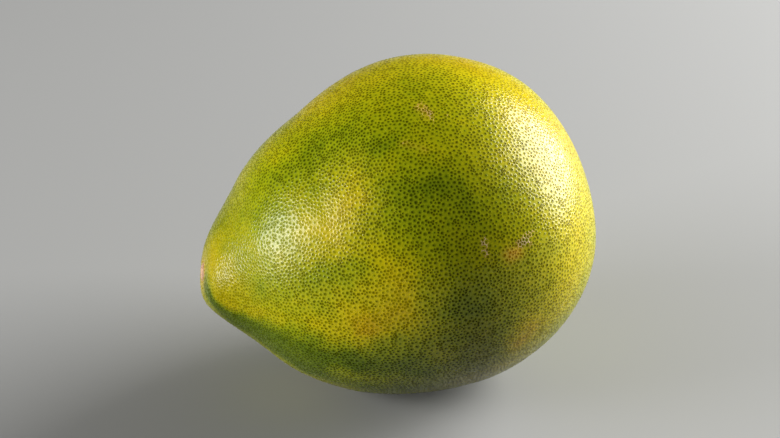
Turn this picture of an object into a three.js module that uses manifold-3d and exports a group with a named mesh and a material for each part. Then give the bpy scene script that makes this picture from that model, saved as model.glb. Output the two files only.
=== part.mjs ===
// A whole pear-shaped oroblanco, a large pale citrus fruit, lying on its side as picked.
// The fruit grew as one piece, so the model is one closed solid. Millimetres, +Z up.
// The origin is the middle of the small flat spot the fruit rests on, and +X runs from
// the narrow stem end to the broad blossom end.
import * as THREE from 'three';
import { mergeVertices } from 'three/addons/utils/BufferGeometryUtils.js';
import Module from 'manifold-3d';

// ---- Driving dimensions ------------------------------------------------------------------

// The outline, as a radius against the distance from the stem pole
const LENGTH = 151.3; // stem pole to blossom pole
const MAX_RADIUS = 62.3; // at the widest ring
const WIDEST_AT = 91.8; // the widest ring, from the stem pole
const SHOULDER_AT = 24; // a ring on the straight cone of the neck, from the stem pole
const SHOULDER_RADIUS = 33.2;
const SHOULDER_SLOPE = 50.1; // degrees between the axis and the outline at that ring

// How far each stretch of the outline stays near its end's direction
const STEM_ROUNDNESS = 8.7;
const SHOULDER_PULL = { toStem: 25.4, toBelly: 25.8 };
const WIDEST_PULL = { toStem: 18.9, toBlossom: 12.6 };
const BLOSSOM_ROUNDNESS = 54.2;

// The neck leans a little upwards from the belly's axis, and the blossom pole lies low
const LEAN = 8.5; // degrees
const LEAN_FROM = 82.5; // the bend starts here, from the stem pole
const LEAN_TO = 51.5; // and the neck is straight again from here on
const BLOSSOM_DROP = 1.1;

// The flattened, dished face round the stem, and the corky scar in it
const FACE = { rise: 3.9, depth: 4.2, radius: 11.7, turn: 1.6 }; // turn is in degrees
const SCAR = { height: 0.5, radius: 3.2 };

// The dimple that the style left at the blossom end
const STYLE_DIMPLE = { depth: 0.6, radius: 5 };

// How the fruit lies
const TILT = 17.5; // degrees that the neck points down
const FLAT_DEPTH = 1.2; // how much of the belly the flat spot takes away

// How finely the skin is faceted
const SEGMENTS = 56; // round the axis
const RINGS_PER_STRETCH = 20;

// ---- The outline -------------------------------------------------------------------------

// A point that lies a distance along the shoulder's slope: x is the radius, y the station.
function onShoulder(distance) {
  const slope = THREE.MathUtils.degToRad(SHOULDER_SLOPE);
  return new THREE.Vector2(
    SHOULDER_RADIUS + distance * Math.sin(slope),
    SHOULDER_AT + distance * Math.cos(slope)
  );
}

// Three curves that meet without a corner: stem pole, shoulder, widest ring, blossom pole.
function outline() {
  const before = onShoulder(-SHOULDER_PULL.toStem);
  const shoulder = onShoulder(0);
  const after = onShoulder(SHOULDER_PULL.toBelly);
  const path = new THREE.Path();
  path.moveTo(0, 0);
  path.bezierCurveTo(STEM_ROUNDNESS, 0, before.x, before.y, shoulder.x, shoulder.y);
  path.bezierCurveTo(
    after.x, after.y,
    MAX_RADIUS, WIDEST_AT - WIDEST_PULL.toStem,
    MAX_RADIUS, WIDEST_AT
  );
  path.bezierCurveTo(
    MAX_RADIUS, WIDEST_AT + WIDEST_PULL.toBlossom,
    BLOSSOM_ROUNDNESS, LENGTH,
    0, LENGTH
  );
  return path.getPoints(RINGS_PER_STRETCH);
}

// ---- The leaning neck and the low blossom end --------------------------------------------

// The middle of the ring at a station, in the fruit's upright plane, and how far it turned.
function spine(station) {
  const lean = THREE.MathUtils.degToRad(LEAN);
  const bendLength = LEAN_FROM - LEAN_TO;
  const bendRadius = bendLength / lean;
  const past = Math.max(LEAN_FROM - station, 0);
  const turned = Math.min(past, bendLength) / bendRadius;
  const straight = Math.max(past - bendLength, 0);
  const behind = Math.max(station - WIDEST_AT, 0) / (LENGTH - WIDEST_AT);
  return {
    along: Math.max(station, LEAN_FROM)
      - bendRadius * Math.sin(turned) - straight * Math.cos(turned),
    up: bendRadius * (1 - Math.cos(turned)) + straight * Math.sin(turned)
      - BLOSSOM_DROP * behind ** 2,
    turned,
  };
}

// A place on the leaning ring at a station: up and across are measured in that ring.
function onRing(station, up, across) {
  const middle = spine(station);
  return new THREE.Vector3(
    middle.along + up * Math.sin(middle.turned),
    across,
    middle.up + up * Math.cos(middle.turned)
  );
}

// ---- The two ends ------------------------------------------------------------------------

// 1 at the middle of a round feature, a fifth at its radius, and falling smoothly to 0.
function bell(distance, radius) {
  return 0.2 ** ((distance / radius) ** 2);
}

// 1 inside a round feature and 0 outside it, with a soft edge a quarter of its radius wide.
function button(distance, radius) {
  return 1 - THREE.MathUtils.smoothstep(distance, radius * 0.75, radius);
}

const faceTurn = THREE.MathUtils.degToRad(LEAN + FACE.turn);
const faceMiddle = onRing(0, FACE.rise, 0);
const faceOutward = new THREE.Vector3(-Math.cos(faceTurn), 0, Math.sin(faceTurn));
const stylePole = onRing(LENGTH, 0, 0);
const styleOutward = new THREE.Vector3(1, 0, 0);

// How far a point lies from the line through a feature's middle along its outward direction.
function distanceFrom(point, middle, outward) {
  return point.clone().sub(middle).projectOnPlane(outward).length();
}

// Presses the stem face in, raises its scar, and dimples the blossom end.
function shapeEnds(point) {
  if (point.x < LENGTH / 3) {
    const away = distanceFrom(point, faceMiddle, faceOutward);
    const push = SCAR.height * button(away, SCAR.radius) - FACE.depth * bell(away, FACE.radius);
    point.addScaledVector(faceOutward, push);
  } else if (point.x > LENGTH * 2 / 3) {
    const away = distanceFrom(point, stylePole, styleOutward);
    point.addScaledVector(styleOutward, -STYLE_DIMPLE.depth * bell(away, STYLE_DIMPLE.radius));
  }
  return point;
}

// ---- The skin as a closed mesh -----------------------------------------------------------

// Only positions, with shared vertices joined and the faces that close up at a pole dropped.
function weld(geometry) {
  geometry.deleteAttribute('normal');
  geometry.deleteAttribute('uv');
  const welded = mergeVertices(geometry, 1e-4);
  const corners = welded.index.array;
  const kept = [];
  for (let i = 0; i < corners.length; i += 3) {
    const [a, b, c] = corners.subarray(i, i + 3);
    if (a !== b && b !== c && c !== a) kept.push(a, b, c);
  }
  welded.setIndex(kept);
  return welded;
}

// The fruit lying down with its lowest point on z = -FLAT_DEPTH. The lathe's own axis is Y,
// with the section in X and Z.
function skin() {
  const geometry = new THREE.LatheGeometry(outline(), SEGMENTS);
  const position = geometry.attributes.position;
  const point = new THREE.Vector3();
  for (let i = 0; i < position.count; i += 1) {
    point.fromBufferAttribute(position, i);
    point.copy(shapeEnds(onRing(point.y, point.z, -point.x)));
    position.setXYZ(i, point.x, point.y, point.z);
  }
  const closed = weld(geometry);
  closed.rotateY(-THREE.MathUtils.degToRad(TILT));
  closed.computeBoundingBox();
  closed.translate(0, 0, -FLAT_DEPTH - closed.boundingBox.min.z);
  return closed;
}

// ---- The flat spot -----------------------------------------------------------------------

const wasm = await Module();
wasm.setup();

function toSolid(geometry) {
  return new wasm.Manifold(new wasm.Mesh({
    numProp: 3,
    vertProperties: new Float32Array(geometry.attributes.position.array),
    triVerts: new Uint32Array(geometry.index.array),
  }));
}

function toGeometry(solid) {
  const mesh = solid.getMesh();
  const geometry = new THREE.BufferGeometry();
  geometry.setAttribute('position', new THREE.BufferAttribute(mesh.vertProperties, 3));
  geometry.setIndex(new THREE.BufferAttribute(mesh.triVerts, 1));
  return geometry;
}

// Cuts away what lies below z = 0, where the fruit's own weight pressed the peel flat.
function withFlatSpot(geometry) {
  const thickness = 10;
  const below = new THREE.BoxGeometry(2 * LENGTH, 2 * LENGTH, thickness);
  below.translate(0, 0, -thickness / 2);
  return toGeometry(toSolid(geometry).subtract(toSolid(weld(below))));
}

// Moves the middle of the flat spot to the origin.
function centreFlatSpot(geometry) {
  const position = geometry.attributes.position;
  const flat = new THREE.Box3();
  const point = new THREE.Vector3();
  for (let i = 0; i < position.count; i += 1) {
    point.fromBufferAttribute(position, i);
    if (Math.abs(point.z) < 1e-3) flat.expandByPoint(point);
  }
  const middle = flat.getCenter(new THREE.Vector3());
  geometry.translate(-middle.x, -middle.y, 0);
  return geometry;
}

// ---- The part ----------------------------------------------------------------------------

const peel = new THREE.MeshStandardMaterial({
  color: 0x9aa012,
  roughness: 0.45,
  metalness: 0,
});

const fruit = new THREE.Mesh(centreFlatSpot(withFlatSpot(skin())), peel);
fruit.name = 'fruit';

const oroblanco = new THREE.Group();
oroblanco.add(fruit);

export default oroblanco;
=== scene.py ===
# %% [markdown]
# # An oroblanco lying on its side
#
# An oroblanco is a large, pale green and yellow citrus fruit of the pomelo family. This one is
# pear-shaped: a broad belly, a narrow neck, and a small corky scar where the stalk broke off.
#
# A fruit like this could be a smooth ball with a picture of peel on it. Up close that looks
# like a plastic ball, because the peel's character is in its oil glands: more than twenty-five
# thousand small domes, each with a dark spot. So the lesson grows the glands first, and then
# builds the skin as a net with one small fan of faces round every gland.
#
# The measured model of the fruit comes first. It gives the place and the size of everything.

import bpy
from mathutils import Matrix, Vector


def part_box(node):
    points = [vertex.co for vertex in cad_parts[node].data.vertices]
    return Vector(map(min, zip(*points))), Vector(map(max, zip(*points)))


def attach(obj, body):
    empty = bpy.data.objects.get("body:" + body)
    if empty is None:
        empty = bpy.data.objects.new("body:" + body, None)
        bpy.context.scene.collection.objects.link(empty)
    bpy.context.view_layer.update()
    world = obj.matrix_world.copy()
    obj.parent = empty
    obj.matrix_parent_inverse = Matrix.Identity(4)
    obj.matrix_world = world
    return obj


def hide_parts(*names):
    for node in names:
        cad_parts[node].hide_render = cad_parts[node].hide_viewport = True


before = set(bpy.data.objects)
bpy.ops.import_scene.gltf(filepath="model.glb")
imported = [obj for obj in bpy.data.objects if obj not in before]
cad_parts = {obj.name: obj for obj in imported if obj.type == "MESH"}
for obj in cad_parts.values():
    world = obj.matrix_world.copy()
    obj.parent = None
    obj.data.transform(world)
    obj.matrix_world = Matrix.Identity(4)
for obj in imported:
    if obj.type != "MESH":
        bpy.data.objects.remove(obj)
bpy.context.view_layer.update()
fruit_low, fruit_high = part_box("fruit")
print("the measured fruit reaches from", tuple(fruit_low), "to", tuple(fruit_high))

# %% [markdown]
# ## Tools
#
# The skin needs lists of tens of thousands of numbers. Handling them one by one is slow in
# Python, so numpy works on whole lists at once. Chance is given a seed, because without one
# every run would grow a different fruit.

# %% Gather the tools
import math

import bpy
import numpy as np
from mathutils import Matrix, Vector, noise
from mathutils.geometry import delaunay_2d_cdt

MM = 0.001  # the shape is worked out in millimetres, and Blender counts in metres
chance = np.random.default_rng(41)  # one seeded source of chance, so every run is alike
print("Blender", bpy.app.version_string, "and numpy", np.__version__)


# %% [markdown]
# ## The outline
#
# A fruit that hangs from a stalk grows almost evenly all the way round. Its outline, turned
# about the line from the stem to the blossom end, gives most of the shape.
#
# The outline could be a list of many measured points. Three curves do it with far fewer
# numbers and no wobble: from the stem pole to the shoulder of the neck, on to the widest ring,
# and round to the blossom pole. The curves meet in the same direction, so no crease shows.
# A place along the middle line is called a station, in millimetres from the stem pole.

# %% Size the outline
LENGTH = 151.3  # stem pole to blossom pole
WIDEST_RADIUS = 62.3
WIDEST_AT = 91.8
SHOULDER_RADIUS = 33.2
SHOULDER_AT = 24.0
SHOULDER_SLOPE = math.radians(50.1)  # between the middle line and the outline
STEM_ROUNDNESS = 8.7
SHOULDER_PULLS = (25.4, 25.8)  # towards the stem, towards the belly
WIDEST_PULLS = (18.9, 12.6)  # towards the stem, towards the blossom end
BLOSSOM_ROUNDNESS = 54.2
print(f"before it leans, the fruit is {LENGTH} mm long and {2 * WIDEST_RADIUS} mm wide")

# %% [markdown]
# Each curve leaves one place and arrives at another, and two more points pull it, as the
# handles of Blender's own curves do. The formula is written out here, because the points are
# needed as numbers. At the two poles the pull is straight outwards, so the ends are round.

# %% Draw the outline
def on_shoulder(distance):
    """The (radius, station) a distance along the shoulder's slope."""
    return (
        SHOULDER_RADIUS + distance * math.sin(SHOULDER_SLOPE),
        SHOULDER_AT + distance * math.cos(SHOULDER_SLOPE),
    )


def stretch(start, leave, arrive, end, steps=400):
    """A smooth curve of (radius, station) points between two places."""
    t = np.linspace(0, 1, steps + 1)[:, None]
    start, leave, arrive, end = (np.array(p, float) for p in (start, leave, arrive, end))
    return (
        (1 - t) ** 3 * start
        + 3 * (1 - t) ** 2 * t * leave
        + 3 * (1 - t) * t**2 * arrive
        + t**3 * end
    )


neck = stretch(
    (0, 0), (STEM_ROUNDNESS, 0), on_shoulder(-SHOULDER_PULLS[0]), on_shoulder(0)
)
flank = stretch(
    on_shoulder(0),
    on_shoulder(SHOULDER_PULLS[1]),
    (WIDEST_RADIUS, WIDEST_AT - WIDEST_PULLS[0]),
    (WIDEST_RADIUS, WIDEST_AT),
)
crown = stretch(
    (WIDEST_RADIUS, WIDEST_AT),
    (WIDEST_RADIUS, WIDEST_AT + WIDEST_PULLS[1]),
    (BLOSSOM_ROUNDNESS, LENGTH),
    (0, LENGTH),
)
outline_radius, outline_station = np.concatenate([neck, flank[1:], crown[1:]]).T
print("the outline has", len(outline_radius), "points")

# %% [markdown]
# The outline is used in four ways below, so it is measured once: how far an ant has walked
# over the skin from the stem, how much skin lies behind it, and the direction in which it is
# seen from the middle of the widest ring. That direction only ever grows along the outline, so
# it is a safe way to ask where any point belongs.
#
# The last measure is for a flat map of the whole skin that keeps every small shape, like a
# map of the globe drawn from one pole. Its logarithm grows by each step over the ring's radius.

# %% Measure along the outline
steps = np.hypot(np.diff(outline_radius), np.diff(outline_station))
middle_radius = (outline_radius[1:] + outline_radius[:-1]) / 2
outline_walk = np.r_[0, np.cumsum(steps)]
outline_skin = np.r_[0, np.cumsum(2 * np.pi * middle_radius * steps)]
outline_direction = np.arctan2(outline_radius, WIDEST_AT - outline_station)
outline_map = np.r_[0, np.cumsum(steps / middle_radius)]
outline_map -= np.interp(WIDEST_AT, outline_station, outline_map)
print(f"{outline_walk[-1]:.0f} mm from pole to pole, {outline_skin[-1] / 100:.0f} cm2 of skin")


def turned_point(walk, angle):
    """Points on the plain turned shape. Angle 0 is the upper side, and -90 degrees is -Y."""
    radius = np.interp(walk, outline_walk, outline_radius)
    station = np.interp(walk, outline_walk, outline_station)
    return np.stack([station, radius * np.sin(angle), radius * np.cos(angle)], -1)


# %% [markdown]
# ## The lean, the stem face and the way it lies
#
# No fruit is a perfect turning. The neck of this one leans a little upwards, the stem end is
# flattened and dished, and the fruit lies tipped, with a small flat spot under its belly.
#
# All of that could be modelled by hand with a sculpting brush. Formulas do the same moves
# here, so that the looks follow the measured model to a fraction of a millimetre. The lean
# comes first. Its rings turn one after the other, as the segments of a bent hose do.

# %% Bend the turned shape
LEAN = math.radians(8.5)
LEAN_FROM = 82.5  # the bend starts here, seen from the stem pole
LEAN_TO = 51.5  # and the neck is straight again from here on
BLOSSOM_DROP = 1.1


def middle_line(station):
    """Where the middle of a ring lies after the neck has leaned, and how far it turned."""
    bend_length = LEAN_FROM - LEAN_TO
    bend_radius = bend_length / LEAN
    past = np.maximum(LEAN_FROM - station, 0)
    turned = np.minimum(past, bend_length) / bend_radius
    straight = np.maximum(past - bend_length, 0)
    behind = np.maximum(station - WIDEST_AT, 0) / (LENGTH - WIDEST_AT)
    along = (
        np.maximum(station, LEAN_FROM)
        - bend_radius * np.sin(turned)
        - straight * np.cos(turned)
    )
    up = (
        bend_radius * (1 - np.cos(turned))
        + straight * np.sin(turned)
        - BLOSSOM_DROP * behind**2
    )
    return along, up, turned


def leaned(points):
    """Points of the turned shape, moved with the leaning neck."""
    station, across, height = np.moveaxis(np.asarray(points, float), -1, 0)
    along, up, turned = middle_line(station)
    return np.stack(
        [along + height * np.sin(turned), across, up + height * np.cos(turned)], -1
    )


print(f"the lean lifts the stem pole by {leaned([0, 0, 0])[2]:.1f} mm")

# %% [markdown]
# The stem end is dished, with the corky scar standing in the dish, and the style has left a
# faint dimple at the other end. Each end gets a middle and the way it faces, which are enough
# to put a round feature there.

# %% Size the two ends
FACE_RISE = 3.9  # the stem face's middle, above the stem pole
FACE_DEPTH = 4.2
FACE_RADIUS = 11.7
FACE_TURN = math.radians(1.6)
SCAR_HEIGHT = 0.5
SCAR_RADIUS = 3.2
DIMPLE_DEPTH = 0.6
DIMPLE_RADIUS = 5.0

face_middle = leaned([0, 0, FACE_RISE])
face_outward = np.array([-math.cos(LEAN + FACE_TURN), 0, math.sin(LEAN + FACE_TURN)])
blossom_middle = leaned([LENGTH, 0, 0])
blossom_outward = np.array([1.0, 0, 0])
print("the stem face looks towards", face_outward.round(2))

# %% [markdown]
# A sculptor would use a brush with a soft edge. Here each feature is a push along the line
# through its middle, and the distance from that line says how strong the push is. A bell curve
# fades without an edge, as a dish does. A smooth step has an edge, as the scar does.

# %% Shape the two ends
def bell(distance, radius):
    """1 in the middle of a round feature, a fifth at its radius, and smoothly to 0."""
    return 0.2 ** ((distance / radius) ** 2)


def smooth_step(value, low, high):
    """0 below low, 1 above high, and a smooth rise between."""
    t = np.clip((value - low) / (high - low), 0, 1)
    return t * t * (3 - 2 * t)


def distance_from_line(points, middle, outward):
    """How far points lie from the line through a feature's middle."""
    reach = points - middle
    return np.linalg.norm(reach - (reach @ outward)[..., None] * outward, axis=-1)


def with_ends(points):
    """Presses the stem face in, raises its scar, and dimples the blossom end."""
    from_scar = distance_from_line(points, face_middle, face_outward)
    scar = SCAR_HEIGHT * (1 - smooth_step(from_scar, SCAR_RADIUS * 0.75, SCAR_RADIUS))
    push = np.where(
        points[..., 0] < LENGTH / 3, scar - FACE_DEPTH * bell(from_scar, FACE_RADIUS), 0
    )
    from_style = distance_from_line(points, blossom_middle, blossom_outward)
    pull = np.where(
        points[..., 0] > LENGTH * 2 / 3, -DIMPLE_DEPTH * bell(from_style, DIMPLE_RADIUS), 0
    )
    return points + push[..., None] * face_outward + pull[..., None] * blossom_outward


scar_top = with_ends(face_middle)
print(f"the scar stands {np.linalg.norm(scar_top - face_middle):.1f} mm down in the dish")

# %% [markdown]
# A fruit on a table rolls until its belly carries it. So the leaned shape tips about the line
# across it, and its own weight presses a small flat spot into the peel. A trial skin of plain
# rings tells how far to move it, so that it lies exactly where the measured fruit lies.

# %% Lay the fruit down
TILT = math.radians(17.5)  # how far the neck points down
FLAT_DEPTH = 1.2  # how much of the belly the flat spot takes away
tipping = np.array(
    [
        [math.cos(TILT), 0, -math.sin(TILT)],
        [0, 1, 0],
        [math.sin(TILT), 0, math.cos(TILT)],
    ]
)


def tipped(points):
    """Points of the leaned fruit, tipped until its neck points down."""
    return points @ tipping.T


walk_grid, angle_grid = np.meshgrid(
    np.linspace(0, outline_walk[-1], 600), np.linspace(-np.pi, np.pi, 361)
)
trial = tipped(with_ends(leaned(turned_point(walk_grid, angle_grid))))
trial_low = trial.reshape(-1, 3).min(0)
trial_high = trial.reshape(-1, 3).max(0)
middle_x = (fruit_low.x + fruit_high.x) / 2 / MM
resting_place = np.array(
    [middle_x - (trial_low[0] + trial_high[0]) / 2, 0, -FLAT_DEPTH - trial_low[2]]
)


def placed(points):
    """The turned shape's points where they lie in the frame, still in millimetres."""
    return tipped(with_ends(leaned(points))) + resting_place


print("moved by", resting_place.round(2), "mm to lie where the measured fruit lies")

# %% [markdown]
# ## Where the oil glands sit
#
# Glands keep their distance from each other, as seeds in a sunflower do, but they stand in no
# rows. They could be scattered at random, which leaves gaps and clumps that a peel never has.
# A sunflower's spiral is the better start: each gland turns by the golden angle and steps on
# by one gland's share of skin. A push to each one then hides the spiral.
#
# They sit a little closer on the neck than on the belly. The stem dish and the blossom pole
# get a much finer net, since the scars there need small faces more than they need glands.

# %% Sow the sites
GOLDEN_ANGLE = math.pi * (3 - math.sqrt(5))
SPACING = [  # (millimetres from the stem pole over the skin, distance between neighbours)
    (0.0, 0.52),
    (8.5, 0.55),
    (13.0, 1.10),
    (24.0, 1.23),
    (55.0, 1.44),
    (90.0, 1.57),
    (outline_walk[-1] - 14.0, 1.52),
    (outline_walk[-1] - 5.0, 0.75),
    (outline_walk[-1], 0.65),
]
JITTER = 1.0  # how far a site is pushed, as a share of the distance between neighbours
POLE_GAP = 0.2  # no site is pushed nearer to a pole than this

spacing = np.interp(outline_walk, *np.transpose(SPACING))
skin_per_site = math.sqrt(3) / 2 * ((spacing[1:] + spacing[:-1]) / 2) ** 2
outline_count = np.r_[0, np.cumsum(np.diff(outline_skin) / skin_per_site)]
site_count = int(outline_count[-1])
site_number = np.arange(site_count)
site_walk = np.interp(site_number + 0.5, outline_count, outline_walk)
site_angle = site_number * GOLDEN_ANGLE

push_length = JITTER * np.interp(site_walk, outline_walk, spacing)
push_length *= np.sqrt(chance.random(site_count))
push_way = chance.uniform(0, 2 * np.pi, site_count)
ring_radius = np.interp(site_walk, outline_walk, outline_radius)
site_walk = site_walk + push_length * np.cos(push_way)
site_walk = np.clip(site_walk, POLE_GAP, outline_walk[-1] - POLE_GAP)
site_angle = site_angle + push_length * np.sin(push_way) / np.maximum(ring_radius, 1)
print(site_count, "sites on the skin")

# %% [markdown]
# ## The net between the glands
#
# Each site has to know its neighbours. Blender can join flat points into well-shaped triangles
# with one call, so the skin is unrolled to a flat map first, the one that keeps small shapes.

# %% Join the neighbours
def net_of(flat):
    """Triangles between flat points, each with its corners anticlockwise."""
    vertices, _, triangles, _, _, _ = delaunay_2d_cdt(
        [Vector(p) for p in flat], [], [], 0, 1e-9
    )
    if len(vertices) != len(flat):
        raise ValueError("two sites fell together; change JITTER")
    return np.array(triangles)


map_radius = np.exp(np.interp(site_walk, outline_walk, outline_map))
flat_sites = np.stack(
    [map_radius * np.cos(site_angle), map_radius * np.sin(site_angle)], -1
)
site_net = net_of(flat_sites)
print(len(site_net), "triangles in the first net")

# %% [markdown]
# After this first joining, each site moves part of the way to the middle of its neighbours,
# and the net is made once more. That evens out the tightest pairs and leaves the rest
# irregular. Sites near the rim of the map stay, since they have neighbours on one side only.

# %% Even out the net
RELAX_ROUNDS = 4
RELAX_SHARE = 0.6
RIM_WIDTH = 1.5  # in millimetres of skin from the blossom pole
rim_radius = math.exp(np.interp(outline_walk[-1] - RIM_WIDTH, outline_walk, outline_map))


def spokes_of(triangles):
    """Every directed edge of the net, as (from, to, its triangle)."""
    ahead = np.roll(triangles, -1, axis=1)
    owner = np.repeat(np.arange(len(triangles)), 3)
    return triangles.ravel(), ahead.ravel(), owner


def relaxed(flat, triangles):
    """Moves each flat point part of the way to the middle of its neighbours."""
    start, end, _ = spokes_of(triangles)
    total = np.zeros_like(flat)
    np.add.at(total, start, flat[end])
    mates = np.bincount(start, minlength=len(flat))[:, None]
    moved = flat + RELAX_SHARE * (total / np.maximum(mates, 1) - flat)
    far = np.linalg.norm(flat, axis=1) > rim_radius
    return np.where(far[:, None], flat, moved)


for _ in range(RELAX_ROUNDS):
    flat_sites = relaxed(flat_sites, site_net)
    site_net = net_of(flat_sites)
site_walk = np.interp(
    np.log(np.linalg.norm(flat_sites, axis=1)), outline_map, outline_walk
)
site_angle = np.arctan2(flat_sites[:, 1], flat_sites[:, 0])
print(len(site_net), "triangles in the even net")

# %% [markdown]
# The blossom pole lies infinitely far out on that map, so one last site is added there by hand
# and joined to the map's rim. An edge on the rim has a triangle on one side only, so it is
# listed once, and its reverse is missing. That is how the rim is found.

# %% Close the net at the blossom pole
start, end, _ = spokes_of(site_net)
forward = set(zip(start.tolist(), end.tolist()))
rim = [(a, b) for a, b in forward if (b, a) not in forward]
pole = site_count
site_net = np.concatenate([site_net, [(b, a, pole) for a, b in sorted(rim)]])
site_walk = np.r_[site_walk, outline_walk[-1]]
site_angle = np.r_[site_angle, 0.0]
site_count += 1
print(f"{len(site_net)} triangles join the sites, {len(rim)} of them at the blossom pole")

# %% [markdown]
# ## Which sites are glands
#
# Most sites are glands. In the finer net round the two scars only some are, at the distance
# that glands keep, and none are on the scars. Every site remembers the nearest gland, so that
# a dark spot can spread over several small faces and still be round.

# %% Pick the glands
FINE_NET = 14.0  # how far the finer nets reach from the two poles, in millimetres
GLAND_GAP = 1.05  # the least distance between glands there
SCAR_CLEARANCE = 0.5
STYLE_RADIUS = 1.9

site_turned = turned_point(site_walk, site_angle)
site_leaned = leaned(site_turned)
site_from_scar = distance_from_line(site_leaned, face_middle, face_outward)
site_from_scar[site_leaned[:, 0] > LENGTH / 3] = LENGTH  # the line passes the other end too
site_from_style = distance_from_line(site_leaned, blossom_middle, blossom_outward)
site_from_style[site_leaned[:, 0] < LENGTH / 2] = LENGTH
barren = site_from_scar < SCAR_RADIUS + SCAR_CLEARANCE
barren |= site_from_style < STYLE_RADIUS
crowded = (site_walk < FINE_NET) | (site_walk > outline_walk[-1] - FINE_NET)

is_gland = ~crowded & ~barren
for site in chance.permutation(np.flatnonzero(crowded & ~barren)):
    near = is_gland & (abs(site_walk - site_walk[site]) < 3 * GLAND_GAP)
    gaps = np.linalg.norm(site_turned[near] - site_turned[site], axis=1)
    is_gland[site] = gaps.min(initial=LENGTH) > GLAND_GAP

own_gland = np.arange(site_count)
glands = np.flatnonzero(is_gland)
for site in np.flatnonzero(~is_gland):
    gaps = np.linalg.norm(site_turned[glands] - site_turned[site], axis=1)
    own_gland[site] = glands[gaps.argmin()]
print(len(glands), "oil glands")

# %% [markdown]
# ## The skin's fans
#
# Round each site the mesh makes a fan: one corner at the site, and one in the middle of each
# triangle that meets there. A fan has about six faces, and its corners lie in the furrows
# between the glands. So lifting the sites gives every gland its own small dome, with no
# subdivision of faces that need none.

# %% Lay out the fans
start, end, owner = spokes_of(site_net)
spoke_owner = dict(zip(zip(start.tolist(), end.tolist()), owner.tolist()))
across = np.array([spoke_owner[b, a] for a, b in zip(start.tolist(), end.tolist())])
fan_faces = np.stack([start, site_count + across, site_count + owner], -1)
skin_turned = np.concatenate([site_turned, site_turned[site_net].mean(1)])
skin_gland = np.r_[own_gland, own_gland[site_net[:, 0]]]
skin = placed(skin_turned)
print(len(skin), "corners and", len(fan_faces), "faces in the skin")

# %% [markdown]
# Relief lifts the skin outwards, so each corner needs to know which way that is. Blender would
# give normals for a finished mesh. The skin isn't one yet, so the crossed edges of the faces
# round each corner are added up, and if they point inwards, every face is turned over.

# %% Find the way outwards
def corner_normals(points, faces):
    """The outward direction at each corner, from the faces round it."""
    a, b, c = (points[faces[:, i]] for i in range(3))
    face_normal = np.cross(b - a, c - a)
    total = np.zeros_like(points)
    for i in range(3):
        np.add.at(total, faces[:, i], face_normal)
    return total / np.linalg.norm(total, axis=1)[:, None]


middle = skin.mean(0)
outward = corner_normals(skin, fan_faces)
if (outward * (skin - middle)).sum() < 0:
    fan_faces = fan_faces[:, ::-1]
    outward = -outward
print("at the top of the skin, outwards is", outward[skin[:, 2].argmax()].round(2))

# %% [markdown]
# ## Places on the skin
#
# Fullness, colour and marks all lie somewhere on the skin. A place is given by its station and
# its angle round the fruit in degrees, where 0 is the upper side and -90 faces the front. What
# is long or bent is built from straight strokes, each between two places.

# %% Measure from a stroke
def place_on_skin(place):
    """The point of the plain turned shape at a (station, angle in degrees)."""
    station, angle = place
    radius = np.interp(station, outline_station, outline_radius)
    turn = math.radians(angle)
    return np.array([station, radius * math.sin(turn), radius * math.cos(turn)])


def distance_to_stroke(points, first, last):
    """How far points lie from the straight stroke between two places on the skin."""
    origin = place_on_skin(first)
    reach = place_on_skin(last) - origin
    share = np.clip((points - origin) @ reach / max(reach @ reach, 1e-9), 0, 1)
    return np.linalg.norm(points - origin - share[:, None] * reach, axis=1)


print("the front of the shoulder is at", placed(place_on_skin((SHOULDER_AT, -90))).round(1))

# %% [markdown]
# ## Slow relief
#
# A fruit isn't turned on a lathe, and its highlights show that. The tip of this neck is fuller
# on its front, so one soft bulge is placed there. Slow swells of a quarter of a
# millimetre bend the highlights, and ripples a few glands wide break them up. The dish round
# the stem scar is calmer than the rest.
#
# A texture could drive a displace modifier. Noise read at each corner does the same in one
# line, and the heights stay in plain millimetres.

# %% Swell the skin
BULGES = [  # (station, angle), (station, angle), width, height in millimetres
    ((7.6, -86), (8.6, -72), 10.0, 1.5),
]
SWELL_HEIGHT = 0.32
SWELL_LENGTH = 24.0
RIPPLE_HEIGHT = 0.06
RIPPLE_LENGTH = 6.0
CALM = 0.8  # how much of the swells and ripples is gone at the stem scar


def slow_noise(points, length, offset):
    """Smooth noise between about -1 and 1, with features of that length.

    Each offset gives another pattern, and any number would do.
    """
    moved = points / length + offset
    return np.array([noise.noise(p) for p in moved.tolist()])


from_scar = distance_from_line(leaned(skin_turned), face_middle, face_outward)
from_scar[skin_turned[:, 0] > LENGTH / 3] = LENGTH  # far from the scar, beside its line
swell = SWELL_HEIGHT * slow_noise(skin, SWELL_LENGTH, 3.7)
ripple = RIPPLE_HEIGHT * slow_noise(skin, RIPPLE_LENGTH, 8.1)
relief = (swell + ripple) * (1 - CALM * bell(from_scar, FACE_RADIUS))
for first, last, width, height in BULGES:
    relief += height * bell(distance_to_stroke(skin_turned, first, last), width)
print(f"slow relief from {relief.min():.2f} to {relief.max():.2f} mm")

# %% [markdown]
# ## Domes and rough ends
#
# Every gland lifts the skin into its own small dome. One gland in seven stays small. At the
# tip of the neck the domes crowd together, so a finer grain breaks up the shine there. The
# cork of the stem scar is rough and has no domes.
#
# Whatever would end up below the floor is pressed flat, which is the fruit's resting spot.

# %% Lift the domes
GLAND_SIZES = (0.78, 1.20)  # as shares of the usual size
SMALL_GLANDS = 0.15  # as a share of all
SMALL_SIZE = 0.72
DOME_HEIGHT = 0.062
DOME_RADIUS = 0.85
TIP_HEIGHT = 0.15
TIP_LENGTH = 1.05
TIP_STATIONS = (12, 26)  # the tip's grain is whole up to the first and gone at the second
CORK_HEIGHT = 0.28
CORK_LENGTH = 1.1
CORK_EDGE = (0.85, 1.05)  # where the cork ends, as shares of the scar's radius

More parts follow.
